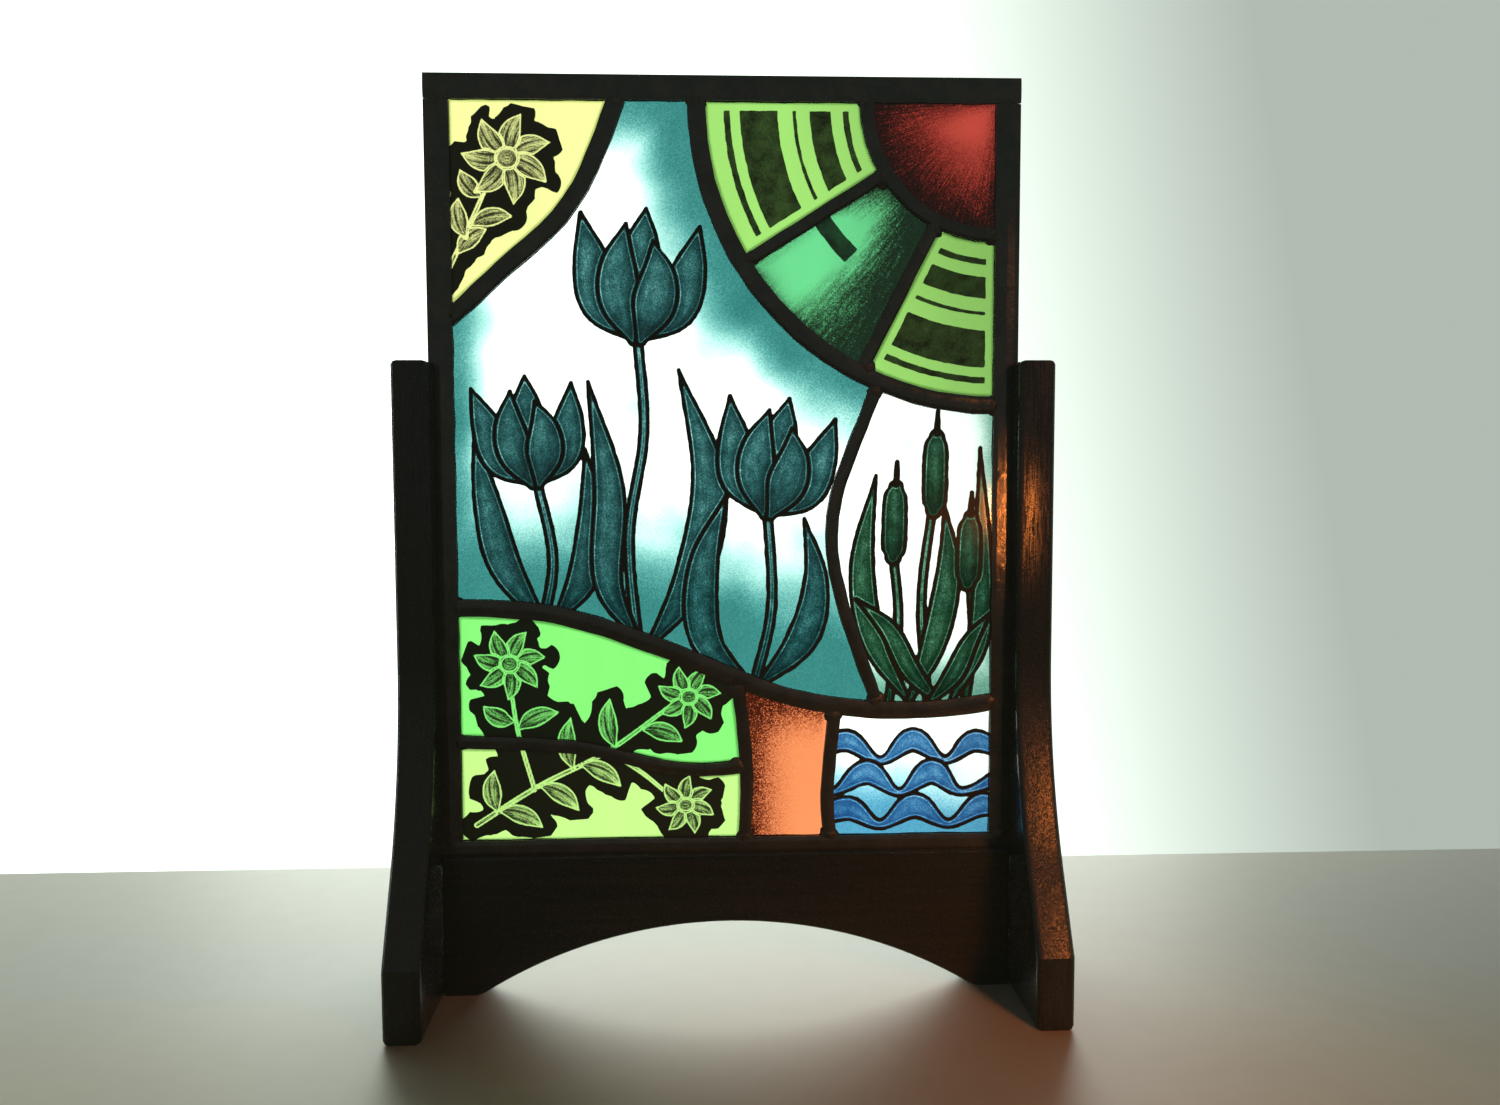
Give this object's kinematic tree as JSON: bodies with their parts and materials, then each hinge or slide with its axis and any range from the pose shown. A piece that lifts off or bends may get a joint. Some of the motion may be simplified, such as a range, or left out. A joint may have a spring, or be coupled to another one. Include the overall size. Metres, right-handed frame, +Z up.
{
  "type": "leaded stained glass panel in a wooden table stand",
  "caption": "Upright painted and leaded stained glass panel that slides into a dark wooden stand with flared legs and an arched rail.",
  "frame": {"origin": "on the table, under the middle of the panel's thickness and width", "axes": "+Z up, +X to the viewer's right, -Y towards the viewer, who faces the painted side"},
  "size_m": [0.3326, 0.129, 0.4683],
  "materials": {
    "stand_wood": "near-black stained hardwood, satin, with a fine grain",
    "lead": "lead came with a dark blackened patina and tinned solder joints",
    "glass_red": "red glass, matted with dark brushed paint",
    "glass_lime": "lime green glass with dark painted bars",
    "glass_emerald": "emerald glass, shaded with brushed paint",
    "glass_teal": "clear glass painted and shaded in teal with dark trace lines",
    "glass_pale_yellow": "pale yellow glass with a scratched-out design on dark paint",
    "glass_clear_green": "clear glass painted in dark green",
    "glass_bright_green": "bright green glass with a scratched-out design on dark paint",
    "glass_yellow_green": "yellow-green glass with a scratched-out design on dark paint",
    "glass_orange": "orange glass with a brushed dark edge",
    "glass_blue": "clear glass painted and shaded in blue"
  },
  "bodies": {
    "root": {"leg_left": "stand_wood", "leg_right": "stand_wood", "arched_rail": "stand_wood", "border_lead_bottom": "lead", "border_lead_top": "lead", "border_lead_left": "lead", "border_lead_right": "lead", "came_burst_arc": "lead", "came_sun_arc": "lead", "came_upper_ray": "lead", "came_lower_ray": "lead", "came_ground": "lead", "came_sky_corner": "lead", "came_bend": "lead", "came_block_left": "lead", "came_block_right": "lead", "came_hill": "lead", "pane_sun_red": "glass_red", "pane_ray_top_lime": "glass_lime", "pane_ray_middle_emerald": "glass_emerald", "pane_ray_side_lime": "glass_lime", "pane_meadow_teal": "glass_teal", "pane_sky_corner_yellow": "glass_pale_yellow", "pane_reeds_green": "glass_clear_green", "pane_high_hill_green": "glass_bright_green", "pane_low_hill_yellow_green": "glass_yellow_green", "pane_block_orange": "glass_orange", "pane_water_blue": "glass_blue"}
  },
  "joints": []
}
